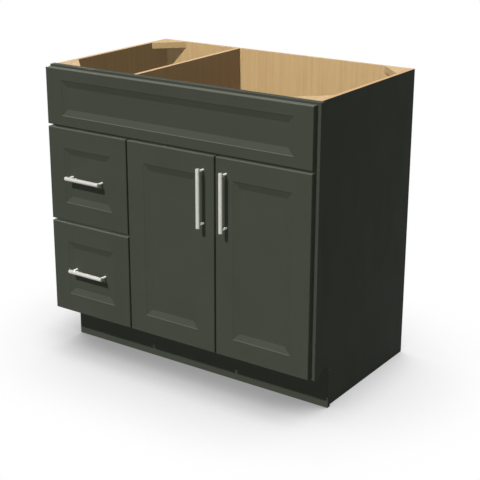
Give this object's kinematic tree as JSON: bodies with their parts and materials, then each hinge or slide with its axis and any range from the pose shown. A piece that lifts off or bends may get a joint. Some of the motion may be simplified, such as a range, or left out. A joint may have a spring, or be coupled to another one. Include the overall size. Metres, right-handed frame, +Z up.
{
  "type": "vanity cabinet",
  "caption": "Free-standing bathroom vanity base cabinet with drawers beside a pair of doors, a fixed false front, bar pulls and an open top for a sink.",
  "frame": {"origin": "on the floor, under the middle of the whole cabinet's box, pulls included", "axes": "+Z up, the front faces -Y, +X to the right seen from the front"},
  "size_m": [0.9144, 0.5868, 0.8763],
  "materials": {
    "front_paint": "satin grey-olive paint on routed fibreboard and hardwood",
    "side_paint": "plywood, painted outside and bare birch inside",
    "birch_ply": "clear-coated birch plywood",
    "drawer_birch": "clear-coated birch boards",
    "satin_nickel": "brushed satin nickel plate",
    "hinge_steel": "nickel-plated pressed steel",
    "slide_steel": "zinc-plated rolled steel",
    "screw_steel": "zinc-plated steel",
    "bumper_rubber": "soft translucent bumper"
  },
  "bodies": {
    "case": {"left_side_panel": "side_paint", "right_side_panel": "side_paint", "back_panel": "birch_ply", "bottom_panel": "birch_ply", "toe_board": "front_paint", "partition": "birch_ply", "corner_braces": "birch_ply", "left_stile": "front_paint", "right_stile": "front_paint", "centre_stile": "front_paint", "top_rail": "front_paint", "middle_rail": "front_paint", "drawer_rail": "front_paint", "bottom_rail": "front_paint", "false_front": "front_paint", "false_front_screws": "screw_steel", "bumpers": "bumper_rubber", "left_hinge_arms": "hinge_steel", "right_hinge_arms": "hinge_steel", "hinge_arm_screws": "screw_steel", "slide_blocks": "birch_ply", "slide_channels": "slide_steel"},
    "upper_drawer": {"upper_drawer_front": "front_paint", "upper_drawer_left_side": "drawer_birch", "upper_drawer_right_side": "drawer_birch", "upper_drawer_inner_front": "drawer_birch", "upper_drawer_back": "drawer_birch", "upper_drawer_bottom": "drawer_birch", "upper_slide_runners": "slide_steel", "upper_pull_bar": "satin_nickel", "upper_pull_posts": "satin_nickel", "upper_pull_screws": "screw_steel"},
    "upper_slide": {"upper_slide_middles": "slide_steel"},
    "lower_drawer": {"lower_drawer_front": "front_paint", "lower_drawer_left_side": "drawer_birch", "lower_drawer_right_side": "drawer_birch", "lower_drawer_inner_front": "drawer_birch", "lower_drawer_back": "drawer_birch", "lower_drawer_bottom": "drawer_birch", "lower_slide_runners": "slide_steel", "lower_pull_bar": "satin_nickel", "lower_pull_posts": "satin_nickel", "lower_pull_screws": "screw_steel"},
    "lower_slide": {"lower_slide_middles": "slide_steel"},
    "left_door": {"left_door": "front_paint", "left_hinge_cups": "hinge_steel", "left_hinge_pins": "hinge_steel", "left_hinge_cup_screws": "screw_steel", "left_pull_bar": "satin_nickel", "left_pull_posts": "satin_nickel", "left_pull_screws": "screw_steel"},
    "right_door": {"right_door": "front_paint", "right_hinge_cups": "hinge_steel", "right_hinge_pins": "hinge_steel", "right_hinge_cup_screws": "screw_steel", "right_pull_bar": "satin_nickel", "right_pull_posts": "satin_nickel", "right_pull_screws": "screw_steel"}
  },
  "joints": [
    {"name": "upper_drawer_slide", "type": "slide", "parent": "case", "child": "upper_drawer", "axis": [0, -1, 0], "range_m": [0, 0.43]},
    {"name": "upper_slide_extend", "type": "slide", "parent": "case", "child": "upper_slide", "axis": [0, -1, 0], "range_m": [0, 0.215]},
    {"name": "lower_drawer_slide", "type": "slide", "parent": "case", "child": "lower_drawer", "axis": [0, -1, 0], "range_m": [0, 0.43]},
    {"name": "lower_slide_extend", "type": "slide", "parent": "case", "child": "lower_slide", "axis": [0, -1, 0], "range_m": [0, 0.215]},
    {"name": "left_door_swing", "type": "hinge", "parent": "case", "child": "left_door", "pos_m": [-0.1498, -0.25083, 0.4085], "axis": [0, 0, -1], "range_deg": [0, 90]},
    {"name": "right_door_swing", "type": "hinge", "parent": "case", "child": "right_door", "pos_m": [0.4387, -0.25083, 0.4085], "axis": [0, 0, 1], "range_deg": [0, 100]}
  ],
  "couplings": [
    {"joint": "upper_slide_extend", "follows": "upper_drawer_slide", "ratio": 0.5},
    {"joint": "lower_slide_extend", "follows": "lower_drawer_slide", "ratio": 0.5}
  ]
}
